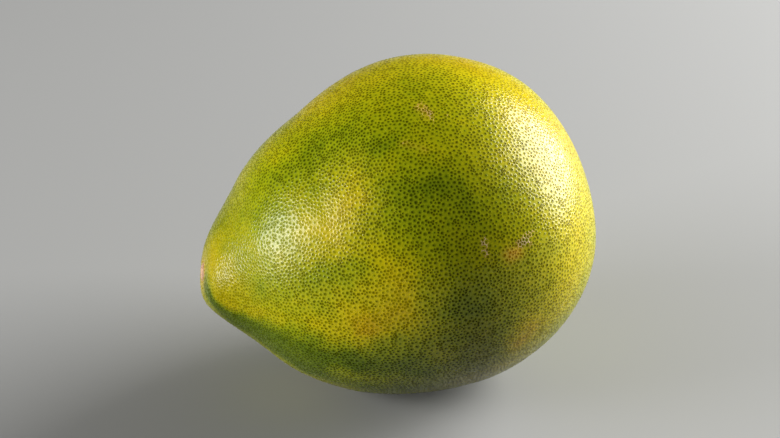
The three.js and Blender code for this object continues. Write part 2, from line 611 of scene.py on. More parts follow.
gland_size = chance.uniform(*GLAND_SIZES, site_count)
gland_size *= np.where(chance.random(site_count) < SMALL_GLANDS, SMALL_SIZE, 1.0)
gland_gap = np.linalg.norm(skin_turned - site_turned[skin_gland], axis=1)
dome = DOME_HEIGHT * bell(gland_gap / gland_size[skin_gland], DOME_RADIUS)
tip_grain = TIP_HEIGHT * slow_noise(skin, TIP_LENGTH, 2.9)
tip_grain *= 1 - smooth_step(skin_turned[:, 0], *TIP_STATIONS)
cork = 1 - smooth_step(from_scar / SCAR_RADIUS, *CORK_EDGE)
relief += (dome + tip_grain) * (1 - cork)
relief += CORK_HEIGHT * cork * slow_noise(skin, CORK_LENGTH, 5.3)
skin = skin + relief[:, None] * outward
skin[:, 2] = np.maximum(skin[:, 2], 0)
print(f"relief from {relief.min():.2f} to {relief.max():.2f} mm")

# %% [markdown]
# ## Ripe and green
#
# A fruit like this colours unevenly: green where leaves shaded it, yellow where the sun
# reached it. The eye reads that as slow patches with soft, ragged edges, so they are listed
# one by one on the skin, as a painter would block them in.
#
# Each patch is a short stroke with a width and a strength. A positive strength ripens the
# skin, and a negative one keeps it green.

# %% Place the patches
PATCHES = [  # (station, angle), (station, angle), width, strength
    # The front: the long yellow stroke over the shoulder, and the broad band below it
    ((50, -50), (68, -41), 10, 0.27),
    ((52, -50), (66, -43), 17, 0.09),
    ((44, -91), (58, -89), 8, 0.18),
    ((58, -88.5), (70, -85), 9, 0.29),
    ((46, -88), (70, -78), 17, 0.15),
    ((72, -75), (75, -71), 8, 0.13),
    ((63, -73), (67, -70), 7, 0.11),
    ((64, -62), (68, -66), 6, 0.13),
    ((18, -88), (38, -90), 4, 0.24),
    # The dish round the stem scar, and its rim
    ((0.6, 0), (0.7, 0), 5.8, 0.45),
    ((9, -30), (11, -75), 6, 0.15),
    ((5, 16), (9, -14), 4.5, 0.26),
    ((12, -36), (15, -70), 9, 0.22),
    ((9, -78), (13, -89), 5, 0.38),
    ((4.6, -44), (5.4, -76), 2.8, -0.50),
    ((2.6, -66), (4.8, -99), 3.2, -0.30),
    ((4.8, -99), (13, -112), 4.6, -0.30),
    # The sunny top and the blossom end
    ((58, 18), (120, 18), 14, 0.34),
    ((70, 6), (130, 4), 14, 0.14),
    ((132, 10), (142, -20), 20, 0.24),
    ((132, -30), (138, -100), 22, 0.22),
    ((149, -40), (149, 40), 26, 0.22),
    ((108, -118), (113, -112), 7, 0.40),
    ((94, -130), (126, -116), 16, 0.20),
    # What stayed green on the front
    ((90, -46), (102, -50), 9, -0.16),
    ((84, -47), (108, -58), 17, -0.13),
    ((92, -60), (98, -64), 12, -0.04),
    ((79, -54), (84, -57), 7, -0.12),
    ((60, -14), (86, -24), 12, -0.22),
    ((32, -14), (50, -22), 10, -0.17),
    ((24, -28), (34, -36), 9, -0.17),
    ((10, -108), (34, -112), 11, -0.44),
    ((34, -108), (52, -106), 9, -0.36),
    ((52, -108), (72, -112), 8, -0.26),
    ((66, -103), (86, -101), 9, -0.11),
    ((76, -116), (98, -118), 9, -0.10),
    ((14, -122), (34, -128), 10, -0.24),
    ((34, -126), (66, -130), 11, -0.24),
    ((88, -88), (94, -92), 8, -0.18),
    ((96, -80), (100, -86), 9, -0.10),
    ((86, -74), (92, -84), 12, -0.07),
    ((45, -64), (54, -67), 8, -0.19),
    ((26, -72), (40, -70), 8, -0.14),
    # The far side, in the same manner
    ((48, 60), (84, 74), 10, 0.28),
    ((70, 118), (104, 128), 10, 0.38),
    ((66, 112), (108, 126), 18, 0.14),
    ((20, 100), (40, 112), 7, 0.26),
    ((98, 52), (120, 66), 9, 0.20),
    ((60, 94), (86, 102), 10, -0.26),
    ((106, 92), (128, 106), 12, -0.24),
    ((22, 56), (46, 50), 10, -0.24),
    ((24, 150), (66, 160), 12, -0.32),
    ((84, 168), (116, 176), 14, -0.18),
    ((56, -150), (92, -158), 12, -0.22),
    ((132, 110), (142, 160), 12, 0.14),
]
print(len(PATCHES), "patches of colour")

# %% [markdown]
# Between the patches the skin is half ripe. A patch with a clean edge would look sprayed on,
# so noise pushes every corner about before its distance from a stroke is taken. That makes the
# edges ragged. One more noise, a finger long, keeps the rest from being a single tone.

# %% Ripen the skin
UNPATCHED = 0.44  # how ripe the skin is where no patch reaches
DRIFT = (30.0, 0.05)  # (length of the slowest change in millimetres, how much it ripens)
WARPS = [(17.0, 5.0), (6.0, 2.0)]  # (length of the noise, how far it pushes), millimetres


def pushed_about(points, warps, offset):
    """Points moved by smooth noise, so that what is measured from them has ragged edges."""
    moved = points.copy()
    for length, reach in warps:
        for axis in range(3):
            moved[:, axis] += reach * slow_noise(points, length, offset + 11.3 * axis)
    return moved


ragged = pushed_about(skin_turned, WARPS, 1.9)
ripeness = np.full(len(skin), UNPATCHED)
for first, last, width, strength in PATCHES:
    ripeness += strength * bell(distance_to_stroke(ragged, first, last), width)
ripeness += DRIFT[1] * slow_noise(skin_turned, DRIFT[0], 6.6)
ripeness = np.clip(ripeness, 0, 1)
print(f"ripeness from {ripeness.min():.2f} to {ripeness.max():.2f}, mean {ripeness.mean():.2f}")

# %% [markdown]
# ## How dark each gland shows
#
# No two glands look the same. Some hold more oil and show darker. They show less on the neck,
# and ripe skin hides them a little. Along one stroke over the neck's shoulder, where the left
# lamp's highlight falls, they are painted paler still: that part is painted highlight, not oil.
# Every gland gets one number for all of that, its depth.
#
# The furrows between the glands get a number too: 0 at a gland and 1 on the line where two
# glands meet. The skin is a little yellower along those lines, and cork settles in them. A
# last number is for the tight, duller skin at the tip of the neck.

# %% Grade the glands and the furrows
NECK_STATIONS = (20, 48)  # between these the glands come out
NECK_DEPTH = 0.72  # how much of its depth a gland keeps on the neck
# Painted highlight: along this stroke the spots are painted paler, where the neck's highlight
# falls.
PAINTED_HIGHLIGHT_STROKE = ((12, -34), (46, -45))
PAINTED_HIGHLIGHT_WIDTH = 16
PAINTED_HIGHLIGHT_SHARE = 0.58
RIPE_RANGE = (0.50, 0.90)  # ripeness where fading starts and where it ends
RIPE_SHARE = 0.20
OIL_SPREAD = (0.78, 1.12)  # the least and the most oil, as shares of the usual
TIGHT_STATIONS = (10, 36)  # tight before the first, and no longer after the second

depth_on_neck = smooth_step(skin_turned[:site_count, 0], *NECK_STATIONS)
gland_depth_and_highlight = NECK_DEPTH + (1 - NECK_DEPTH) * depth_on_neck
# Painted highlight: the spots are made paler along the neck's highlight.
painted_highlight = bell(distance_to_stroke(skin_turned[:site_count], *PAINTED_HIGHLIGHT_STROKE), PAINTED_HIGHLIGHT_WIDTH)
gland_depth_and_highlight *= 1 - PAINTED_HIGHLIGHT_SHARE * painted_highlight
gland_depth_and_highlight *= 1 - RIPE_SHARE * smooth_step(ripeness[:site_count], *RIPE_RANGE)
gland_depth_and_highlight *= chance.uniform(*OIL_SPREAD, site_count)
gland_depth_and_highlight = np.clip(gland_depth_and_highlight, 0, 1)

corner_glands = own_gland[site_net]
on_border = (corner_glands != corner_glands[:, :1]).any(1)
furrow = np.r_[np.where(is_gland, 0.0, 0.5), np.where(on_border, 1.0, 0.3)]
tight_skin = 1 - smooth_step(skin_turned[:, 0], *TIGHT_STATIONS)
print(f"glands show between {gland_depth_and_highlight.min():.2f} and {gland_depth_and_highlight.max():.2f}")

# %% [markdown]
# ## Marks on the peel
#
# A fruit that grew outdoors carries marks: a twig rubbed it, or an insect bit it, and thin
# cork grew over the place. Such cork stays in the furrows between the glands as a tan net.
# Elsewhere the peel has only turned orange. Round the stem scar a ring of orange is laid too,
# partly for the peel's own colour and partly as painted light: the warm light that the dish's
# far rim catches. The marks are strokes again. They could be one list, but cork and orange peel
# look nothing alike, so each has its own list and its own layer.

# %% Place the marks
CORK_MARKS = [  # (station, angle), (station, angle), width, strength
    ((101.3, -17.6), (103.2, -21.6), 3.0, 0.62),
    ((104.2, -21.6), (103.5, -26.4), 1.0, 0.72),
    ((108.1, -25.0), (110.0, -23.2), 0.8, 0.62),
    ((90.4, -30.7), (93.2, -30.3), 0.9, 0.58),
    ((97.7, -34.6), (97.8, -35.0), 0.8, 0.58),
    ((106.4, -70.6), (105.4, -75.4), 1.2, 1.40),
    ((107.2, -71.6), (104.6, -73.8), 1.0, 0.80),
    ((117.8, -77.4), (123.6, -75.4), 1.8, 0.85),
    ((119.6, -76.8), (121.2, -78.8), 2.0, 0.75),
    ((96.4, -67.2), (96.8, -67.8), 0.7, 0.90),
    ((62.0, 84.0), (70.0, 80.0), 1.4, 1.00),
    ((110.0, 128.0), (112.0, 134.0), 2.3, 0.85),
    ((88.0, 30.0), (89.0, 31.0), 1.0, 0.90),
    ((40.0, 132.0), (42.0, 133.0), 1.2, 0.90),
]
ORANGE_MARKS_AND_RIM_LIGHT = [  # the same four numbers; the second mark is the ring round the stem scar
    ((113.6, -79.0), (116.0, -79.4), 3.2, 1.0),
    # This ring is partly painted light: the warm light caught on the dish's far rim.
    ((0.6, 0.0), (0.7, 0.0), 7.6, 0.64),
    ((91.4, -30.6), (97.8, -35.0), 1.6, 0.20),
    ((101.6, -18.4), (103.4, -22.6), 2.4, 0.30),
    ((106.4, -70.6), (105.4, -75.4), 1.5, 0.24),
    ((76.0, 142.0), (79.0, 144.0), 3.0, 0.6),
]
print(len(CORK_MARKS), "cork marks and", len(ORANGE_MARKS_AND_RIM_LIGHT), "orange ones")

# %% [markdown]
# The marks get their ragged edges as the patches did. The noise is much finer and pushes less,
# because a graze is torn and not clouded.

# %% Lay the marks on the skin
MARK_WARPS = [(2.5, 0.8)]


def marks_at(points, marks):
    """How strong a layer of marks is at each point, from 0 to 1."""
    total = np.zeros(len(points))
    for first, last, width, strength in marks:
        total += strength * bell(distance_to_stroke(points, first, last), width)
    return np.clip(total, 0, 1)


jagged = pushed_about(skin_turned, MARK_WARPS, 4.4)
cork_marks = marks_at(jagged, CORK_MARKS)
orange_marks_and_rim_light = marks_at(jagged, ORANGE_MARKS_AND_RIM_LIGHT)
print("corners under cork marks:", int((cork_marks > 0.3).sum()))

# %% [markdown]
# ## The flat map for textures
#
# A game engine can't run the peel's nodes, so for it they must be baked to a picture.
# The picture's sharpness hangs on how well the skin fills it. Blender's own
# unwrapping cuts a fruit into many islands and leaves much of the square empty.
#
# Here the skin is folded onto the square like a paper eight-sided ball pressed flat: the stem
# half fills the diamond in the middle, and the blossom half folds out to the four corners.
# Every square millimetre of skin gets the same share of the picture, and there is no gap.
# Two numbers are enough for a place: its angle, and how much of the skin lies between it and
# the stem pole.

# %% Fold a place onto the square
def folded_out(skin_share, angle, quarter):
    """(u, v) between -1 and 1. Quarter numbers a quarter turn, and angle may pass its ends."""
    height = 1 - 2 * skin_share
    reach = np.sqrt(np.maximum(1 - np.abs(height), 0))
    part = angle / (np.pi / 2) - quarter
    second = reach * part
    first = reach - second
    behind = height < 0
    first, second = (
        np.where(behind, 1 - second, first),
        np.where(behind, 1 - first, second),
    )
    ahead = np.stack([np.cos(quarter * np.pi / 2), np.sin(quarter * np.pi / 2)], -1)
    aside = np.stack([-ahead[..., 1], ahead[..., 0]], -1)
    return first[..., None] * ahead + second[..., None] * aside


widest_front = folded_out(np.array(0.5), np.array(-np.pi / 2), np.array(-1.0))
print("halfway, on the front, the skin folds to", widest_front.round(2))

# %% [markdown]
# A face whose corners went to different flaps would be stretched right across the picture. So
# in the blossom half the middle of a face says to which quarter all three corners go. Angles
# also jump by a whole turn on the underside, and a face there is kept on one side of the jump.

# %% Unfold the skin
UV_MARGIN = 0.012  # the empty rim of the square

direction = np.arctan2(
    np.hypot(skin_turned[:, 1], skin_turned[:, 2]), WIDEST_AT - skin_turned[:, 0]
)
skin_share = np.interp(direction, outline_direction, outline_skin / outline_skin[-1])
skin_angle = np.arctan2(skin_turned[:, 1], skin_turned[:, 2])
face_point = skin_turned[fan_faces].mean(1)
face_angle = np.arctan2(face_point[:, 1], face_point[:, 2])

corner_angle = skin_angle[fan_faces]
corner_share = skin_share[fan_faces]
turns = np.round((corner_angle - face_angle[:, None]) / (2 * np.pi))
corner_angle = corner_angle - 2 * np.pi * turns
own_quarter = np.floor(corner_angle / (np.pi / 2))
face_quarter = np.floor(face_angle / (np.pi / 2))[:, None]
behind_face = corner_share.mean(1)[:, None] > 0.5
corner_quarter = np.where(behind_face, face_quarter, own_quarter)
corner_uv = folded_out(corner_share, corner_angle, corner_quarter)
corner_uv = 0.5 + 0.5 * (1 - 2 * UV_MARGIN) * corner_uv
print("texture square used from", corner_uv.min().round(3), "to", corner_uv.max().round(3))

# %% [markdown]
# ## The skin as a Blender object
#
# The corners and faces could be handed over one at a time with a mesh-building helper. Whole
# lists at once are hundreds of times quicker, as long as every face is a triangle.

# %% Build the skin
peel_mesh = bpy.data.meshes.new("oroblanco_peel")
peel_mesh.vertices.add(len(skin))
peel_mesh.vertices.foreach_set("co", (skin * MM).ravel())
peel_mesh.loops.add(fan_faces.size)
peel_mesh.loops.foreach_set("vertex_index", fan_faces.ravel())
peel_mesh.polygons.add(len(fan_faces))
peel_mesh.polygons.foreach_set("loop_start", np.arange(0, fan_faces.size, 3))
peel_mesh.polygons.foreach_set("loop_total", np.full(len(fan_faces), 3))
peel_mesh.update(calc_edges=True)
peel_mesh.validate()
peel_mesh.shade_smooth()

uv_map = peel_mesh.uv_layers.new(name="OFBake")
uv_map.data.foreach_set("uv", corner_uv.ravel())
peel = bpy.data.objects.new("oroblanco_peel", peel_mesh)
bpy.context.scene.collection.objects.link(peel)
print(len(peel_mesh.polygons), "faces in", peel.name)

# %% [markdown]
# Blender keeps extra numbers on a mesh as attributes. Corners carry how ripe they are, how
# marked, and how near a furrow. Faces carry their gland's middle, size and depth, the same for
# a whole fan, because a number on a face is not blended with its neighbours. The depth holds
# the painted highlight along the neck's shoulder too. The peel's nodes read them all by name.

# %% Write the numbers on the skin
def add_numbers(name, kind, domain, field, values):
    """Stores numbers on the mesh under a name that nodes can read."""
    layer = peel_mesh.attributes.new(name, kind, domain)
    layer.data.foreach_set(field, np.ascontiguousarray(values, np.float32).ravel())


fan_site = np.where(fan_faces < site_count, fan_faces, 0).max(1)
fan_gland = own_gland[fan_site]
add_numbers("gland middle", "FLOAT_VECTOR", "FACE", "vector", skin[fan_gland] * MM)
add_numbers("gland size", "FLOAT", "FACE", "value", gland_size[fan_gland])
add_numbers("ripeness", "FLOAT", "POINT", "value", ripeness)
add_numbers("cork marks", "FLOAT", "POINT", "value", cork_marks)
# The orange marks hold the stem scar's ring too, which is partly painted rim light.
add_numbers("orange marks and rim light", "FLOAT", "POINT", "value", orange_marks_and_rim_light)
add_numbers("gland depth and highlight", "FLOAT", "FACE", "value", gland_depth_and_highlight[fan_gland])
add_numbers("furrow", "FLOAT", "POINT", "value", furrow)
add_numbers("tight skin", "FLOAT", "POINT", "value", tight_skin)
print(len(peel_mesh.attributes), "layers of numbers, Blender's own among them")

# %% [markdown]
# ## The peel's material
#
# Real peel is a waxy, half-clear rind. Its colour is set by how ripe it is, then by the dark
# oil seen through each gland, and last by cork where it was hurt.
#
# A long node tree is hard to read, so a few small helpers make nodes and join them. Each step
# below then reads like a recipe, and leaves behind one socket for the next step.

# %% Start the material
peel_material = bpy.data.materials.new("waxy_peel")
peel_material.use_nodes = True
tree = peel_material.node_tree
tree.nodes.clear()


def feed(socket, value):
    """Joins a socket to another one, or sets it to a plain value."""
    if isinstance(value, bpy.types.NodeSocket):
        tree.links.new(value, socket)
    else:
        socket.default_value = value


skin_place = tree.nodes.new("ShaderNodeTexCoord").outputs["Object"]
print("the peel's nodes measure places in the", skin_place.name, "frame")

# %% [markdown]
# How ripe the skin is comes first, as one number. The mesh gives the slow patches, and noise
# adds what is finer: clouds about a thumbnail wide, and a mottle of a few glands. The furrows
# are a little riper than the domes between them.

# %% Add up how ripe the skin is
def calculate(operation, first, second=0.0, third=0.0, clamp=False):
    """One Math node; gives its result."""
    node = tree.nodes.new("ShaderNodeMath")
    node.operation = operation
    node.use_clamp = clamp
    for socket, value in zip(node.inputs, (first, second, third)):
        feed(socket, value)
    return node.outputs[0]


def number_on_mesh(name, vector=False):
    """Reads what the mesh stores under a name."""
    node = tree.nodes.new("ShaderNodeAttribute")
    node.attribute_name = name
    return node.outputs["Vector" if vector else "Fac"]


def grain(length, detail=2.0, colour=False):
    """Noise whose features are about that long, in metres. It runs from 0 to 1."""
    node = tree.nodes.new("ShaderNodeTexNoise")
    feed(node.inputs["Vector"], skin_place)
    node.inputs["Scale"].default_value = 1 / length
    node.inputs["Detail"].default_value = detail
    return node.outputs["Color" if colour else "Fac"]


def wander(length, reach, detail=2.0):
    """The same noise, running from minus reach to plus reach."""
    return calculate("MULTIPLY_ADD", grain(length, detail), 2 * reach, -reach)


CLOUDS = (0.011, 0.17, 3.0)  # (length in metres, how much riper or greener, detail)
MOTTLE = (0.0032, 0.11)
FURROW_RIPER = 0.20  # how much riper a furrow is than a gland
GLAND_GREENER = -0.12  # what a gland loses, so that the mean stays about the same

clouds = wander(*CLOUDS)
mottle = wander(*MOTTLE)
between = calculate("MULTIPLY_ADD", number_on_mesh("furrow"), FURROW_RIPER, GLAND_GREENER)
ripe = calculate("ADD", number_on_mesh("ripeness"), calculate("ADD", clouds, mottle))
ripe = calculate("ADD", ripe, between)
print(len(tree.nodes), "nodes say how ripe the skin is")

# %% [markdown]
# That number picks the ground colour from a ramp, which runs from deep green over lime to
# yellow and a warm orange-yellow. Two colours and a mix would be simpler, but green and orange
# mix to a dull olive, and the clear lime between them would be lost.
#
# At the tip of the neck the skin is tight and duller, so the same colours are taken down.

# %% Mix the ground colour
def paint(red, green, blue):
    """A colour given as it looks on a screen, 0 to 255, turned into light values."""
    shares = [c / 255 for c in (red, green, blue)]
    light = [c / 12.92 if c <= 0.04045 else ((c + 0.055) / 1.055) ** 2.4 for c in shares]
    return (*light, 1.0)


def blend(amount, below, above, kind="MIX"):
    """Mixes two colours by an amount from 0 to 1."""
    node = tree.nodes.new("ShaderNodeMix")
    node.data_type = "RGBA"
    node.blend_type = kind
    node.clamp_factor = True
    feed(node.inputs["Factor"], amount)
    feed(node.inputs["A"], below)
    feed(node.inputs["B"], above)
    return node.outputs["Result"]


RIPE_COLOURS = [  # (how ripe, the colour there)
    (0.00, paint(112, 134, 1)),
    (0.17, paint(135, 151, 1)),
    (0.31, paint(169, 179, 2)),
    (0.45, paint(188, 189, 2)),
    (0.72, paint(228, 211, 4)),
    (0.93, paint(233, 204, 4)),
    (1.00, paint(234, 197, 4)),
]
TIGHT_TINT = (0.72, 0.72, 0.60, 1.0)

ramp = tree.nodes.new("ShaderNodeValToRGB")
feed(ramp.inputs["Fac"], ripe)
while len(ramp.color_ramp.elements) < len(RIPE_COLOURS):
    ramp.color_ramp.elements.new(0.5)
for element, (at, colour) in zip(ramp.color_ramp.elements, RIPE_COLOURS):
    element.position = at
    element.color = colour
tightened = blend(1.0, ramp.outputs["Color"], TIGHT_TINT, "MULTIPLY")
ground = blend(number_on_mesh("tight skin"), ramp.outputs["Color"], tightened)
print("ground colour in", len(RIPE_COLOURS), "steps")

# %% [markdown]
# A gland shows as a dark spot because its oil drinks light. The spots could be a picture of
# dots, but they would not sit on the domes. So the mask of a spot is the distance from its
# gland's middle, which each face carries, to the place being shaded. A little noise on the
# place keeps the spots from being perfect circles.

# %% Mask the glands
SPOT_EDGE = (0.78, 0.10)  # where a spot begins and where it is full, in millimetres
SPOT_WOBBLE = 0.45  # how far the noise pushes its outline
WOBBLE_LENGTH = 0.0011  # and how long the noise is, in metres


def vector_step(operation, first, second):
    """One Vector Math node with two vectors; gives its result."""
    node = tree.nodes.new("ShaderNodeVectorMath")
    node.operation = operation
    feed(node.inputs[0], first)
    feed(node.inputs[1], second)
    return node.outputs["Vector"]


def length_of(vector):
    """The length of a vector socket."""
    node = tree.nodes.new("ShaderNodeVectorMath")
    node.operation = "LENGTH"
    feed(node.inputs[0], vector)
    return node.outputs["Value"]


def ease(value, low, high):
    """A smooth rise from 0 at low to 1 at high. Low may be the larger one."""
    node = tree.nodes.new("ShaderNodeMapRange")
    node.interpolation_type = "SMOOTHSTEP"
    feed(node.inputs["Value"], value)
    first, last, start, end = (low, high, 0.0, 1.0) if low < high else (high, low, 1.0, 0.0)
    feed(node.inputs["From Min"], first)
    feed(node.inputs["From Max"], last)
    feed(node.inputs["To Min"], start)
    feed(node.inputs["To Max"], end)
    return node.outputs["Result"]


wobble = vector_step("SUBTRACT", grain(WOBBLE_LENGTH, 1.0, colour=True), (0.5, 0.5, 0.5))
wobble = vector_step("MULTIPLY", wobble, (SPOT_WOBBLE * MM,) * 3)
to_gland = vector_step("SUBTRACT", skin_place, number_on_mesh("gland middle", True))
round_gland = calculate("DIVIDE", length_of(to_gland), number_on_mesh("gland size"))
ragged_gland = calculate(
    "DIVIDE", length_of(vector_step("ADD", to_gland, wobble)), number_on_mesh("gland size")
)
spot = ease(ragged_gland, SPOT_EDGE[0] * MM, SPOT_EDGE[1] * MM)
print(f"a spot is up to {2 * SPOT_EDGE[0] * gland_size.max():.1f} mm across")

# %% [markdown]
# The oil doesn't paint the peel, it tints it. So its colour multiplies the ground colour, and
# a spot is olive in green skin and brown in ripe skin. Faint darker flecks, finer than the
# glands, fill the skin between them.

# %% Darken the glands
OIL_TINT = (0.21, 0.195, 0.02, 1.0)  # what the oil leaves of red, green and blue
FLECK_TINT = (0.76, 0.78, 0.60, 1.0)
FLECK_LENGTH = 0.0008
FLECK_EDGE = (0.30, 0.70)  # the noise where a fleck begins and where it is full

oil = blend(1.0, ground, OIL_TINT, "MULTIPLY")
flecks = ease(grain(FLECK_LENGTH), *FLECK_EDGE)
flecked = blend(flecks, ground, blend(1.0, ground, FLECK_TINT, "MULTIPLY"))
# The depth brings in the painted highlight: along the neck's shoulder the spots are paler.
spotted = blend(calculate("MULTIPLY", spot, number_on_mesh("gland depth and highlight")), flecked, oil)
print(len(tree.nodes), "nodes so far")

# %% [markdown]
# The stem scar is solid cork, pale and pinkish, with a brown rim where the stalk tore off and
# a ring of pits where its veins ran. It could be a piece of its own, but it grew as skin, so
# it is a mask on the skin: the distance from the middle line of the dish, with a little noise
# for a torn edge.

# %% Mask the stem scar
SCAR_EDGE = (1.06, 0.92)  # the scar begins and is full here, as shares of its radius
RIM_EDGE = (0.62, 0.98)  # and so does its rim
SCAR_TEAR = (0.0018, 1.1 * MM)  # (length of the noise at its edge, how far it reaches)
STEM_REGION = (0.02, 0.01)  # in metres; beyond the first, the mask is shut
PIT_RING = 0.55
PIT_SPREAD = (0.6, 0.2)  # millimetres beside the ring: no pits, all pits
PIT_LENGTH = 0.0009
PIT_EDGE = (0.48, 0.60)  # the noise where a pit begins and where it is full

scar_centre = placed(np.array([0, 0, FACE_RISE])) * MM
scar_axis = tipping @ face_outward


def distance_from_axis(centre, axis):
    """How far the shaded place lies from a line, as a socket."""
    reach = vector_step("SUBTRACT", skin_place, tuple(centre))
    return length_of(vector_step("CROSS_PRODUCT", reach, tuple(axis)))


def distance_from_point(centre):
    """How far the shaded place lies from a point, as a socket."""
    return length_of(vector_step("SUBTRACT", skin_place, tuple(centre)))


def scar_edge(shares):
    """A smooth rise across the stem scar, between two shares of its radius."""
    return ease(scar_reach, *(share * SCAR_RADIUS * MM for share in shares))


scar_reach = calculate(
    "ADD", distance_from_axis(scar_centre, scar_axis), wander(*SCAR_TEAR)
)
near_stem = ease(distance_from_point(scar_centre), *STEM_REGION)
scar = calculate("MULTIPLY", scar_edge(SCAR_EDGE), near_stem)
scar_rim = calculate("MULTIPLY", scar_edge(RIM_EDGE), scar)
from_ring = calculate("SUBTRACT", scar_reach, PIT_RING * SCAR_RADIUS * MM)
pits = calculate(
    "MULTIPLY",
    ease(calculate("ABSOLUTE", from_ring), PIT_SPREAD[0] * MM, PIT_SPREAD[1] * MM),
    ease(grain(PIT_LENGTH, 1.0), *PIT_EDGE),
)
print(f"the stem scar is {2 * SCAR_RADIUS} mm across, its ring of pits half that")

# %% [markdown]
# The style, which carried the pollen down to the young fruit, left a smaller and darker scar
# at the blossom end. It is small enough for a plain distance from its middle.

# %% Mask the style's scar
STYLE_EDGE = (2.2, 1.3)  # where it begins and where it is full, in millimetres
STYLE_TEAR = (0.0011, 0.7 * MM)  # its torn edge, given as the stem scar's is

style_centre = placed(np.array([LENGTH, 0, 0])) * MM
style_reach = calculate("ADD", distance_from_point(style_centre), wander(*STYLE_TEAR))
style_scar = ease(style_reach, STYLE_EDGE[0] * MM, STYLE_EDGE[1] * MM)
print("the style's scar is at", style_centre.round(4))

# %% [markdown]
# In the marks, cork fills only the furrows, as thin lines of uneven width that break off here
# and there. The stronger the mark, the wider its lines. The mesh knows the furrows exactly, so
# the lines run between the glands and never over them.

# %% Draw the cork net
LINE_WIDTHS = (0.0009, 0.18)  # (length in metres, how much wider or narrower)
STRONG_WIDER = 0.12  # how much wider the lines are where the mark is strong
LINE_EDGE = (0.83, 1.02)  # where a line begins and is full, from gland 0 to furrow 1
BREAKS = (0.0014, 0.55)  # (length in metres, how much stronger or weaker)
BREAK_EDGE = (0.20, 0.62)  # the strength where lines begin to show and where all do

line_width = wander(*LINE_WIDTHS)
line_width = calculate(
    "MULTIPLY_ADD", number_on_mesh("cork marks"), STRONG_WIDER, line_width
)
lines = ease(calculate("ADD", number_on_mesh("furrow"), line_width), *LINE_EDGE)
broken = calculate("ADD", number_on_mesh("cork marks"), wander(*BREAKS))
net = calculate("MULTIPLY", ease(broken, *BREAK_EDGE), lines)
print(len(tree.nodes), "nodes so far")

# %% [markdown]
# Orange peel keeps its pattern: its furrows are brighter than its glands, and its spots are
# brown. Cork is a mix of two tones, in grains finer than any gland. Thin cork lets the peel's
# yellow through, so weak marks are more orange than strong ones.

# %% Mix the colours of orange peel and cork
ORANGE_GLAND = paint(226, 170, 16)
ORANGE_FURROW = paint(252, 206, 72)
ORANGE_SPOT = paint(178, 122, 12)
THICK_CORK = (paint(206, 164, 108), paint(240, 212, 160))  # the two tones of its grains
THIN_CORK = paint(228, 172, 74)

in_furrow = ease(number_on_mesh("furrow"), 0.30, 0.95)
orange_peel = blend(in_furrow, ORANGE_GLAND, ORANGE_FURROW)
orange_peel = blend(spot, orange_peel, ORANGE_SPOT)
thick_cork = blend(grain(0.0006), *THICK_CORK)
thin = ease(number_on_mesh("cork marks"), 1.0, 0.5)
net_cork = blend(thin, thick_cork, THIN_CORK)
print(len(tree.nodes), "nodes so far")

# %% [markdown]
# The stem scar's cork is fresh and pink beside the thin cork of the marks. Its pits and its rim
# are brown. The style's scar is older, and dark all over.

# %% Mix the colours of the scars
SCAR_CORK = (paint(196, 142, 104), paint(244, 206, 168))
STYLE_CORK = (paint(92, 62, 28), paint(170, 130, 72))
PIT_BROWN = paint(134, 88, 54)
RIM_BROWN = paint(118, 76, 40)
BROWN_SHARE = 0.7  # how much of their brown the pits and the rim take on

scar_cork = blend(grain(0.0005), *SCAR_CORK)
scar_cork = blend(calculate("MULTIPLY", pits, BROWN_SHARE), scar_cork, PIT_BROWN)
scar_cork = blend(calculate("MULTIPLY", scar_rim, BROWN_SHARE), scar_cork, RIM_BROWN)
style_cork = blend(grain(0.0005), *STYLE_CORK)
print(len(tree.nodes), "nodes so far")

# %% [markdown]
# The colours go on in the order in which they lie on the fruit: orange peel, then the net, then
# the two scars. Only the stem scar covers the peel fully. A little of what lies under the other
# three still shows.

# %% Paint the marks and the scars
ORANGE_SHARE = 0.88  # how much each one hides of what lies under it
NET_SHARE = 0.85
STYLE_SHARE = 0.85

# The orange marks include the stem scar's ring, which is partly painted rim light.
orange = calculate("MULTIPLY", number_on_mesh("orange marks and rim light"), ORANGE_SHARE)
peel_colour = blend(orange, spotted, orange_peel)
peel_colour = blend(calculate("MULTIPLY", net, NET_SHARE), peel_colour, net_cork)
peel_colour = blend(scar, peel_colour, scar_cork)
peel_colour = blend(calculate("MULTIPLY", style_scar, STYLE_SHARE), peel_colour, style_cork)
print(len(tree.nodes), "nodes in the peel's colour")

# %% [markdown]
# Wax makes the peel shine softly, and never evenly: a little noise keeps it from looking
# polished. Over a gland the wax is thin, so the spots are rougher and mirror much less. Cork
# is rougher still.

# %% Set the shine
WAX_ROUGHNESS = 0.18
WAX_UNEVEN = 0.12
WAX_LENGTH = 0.0018  # how long its uneven places are, in metres
SPOT_ROUGHER = 0.10
CORK_ROUGHER = 0.36
BARE_MIRROR = 0.5  # Blender's own level of mirroring, which bare wax has
SPOT_MIRROR_LOSS = 0.48

any_cork = calculate("MAXIMUM", scar, calculate("MAXIMUM", style_scar, net))
gloss = calculate("MULTIPLY_ADD", grain(WAX_LENGTH), WAX_UNEVEN, WAX_ROUGHNESS)
gloss = calculate("MULTIPLY_ADD", spot, SPOT_ROUGHER, gloss)
gloss = calculate("MULTIPLY_ADD", any_cork, CORK_ROUGHER, gloss, clamp=True)
mirror = calculate("MULTIPLY_ADD", spot, -SPOT_MIRROR_LOSS, BARE_MIRROR)
print(f"the wax is {WAX_ROUGHNESS} to {WAX_ROUGHNESS + WAX_UNEVEN:.2f} rough")

# %% [markdown]
# The skin sinks over the oil as the fruit dries, which gives each dome a dent. The dent, the
# dome's rounded shoulder and the fine pebbles are smaller than the mesh's faces. More faces
# could carry them, at ten times the weight. A bump does it with none: it tilts the light
# without moving any skin.

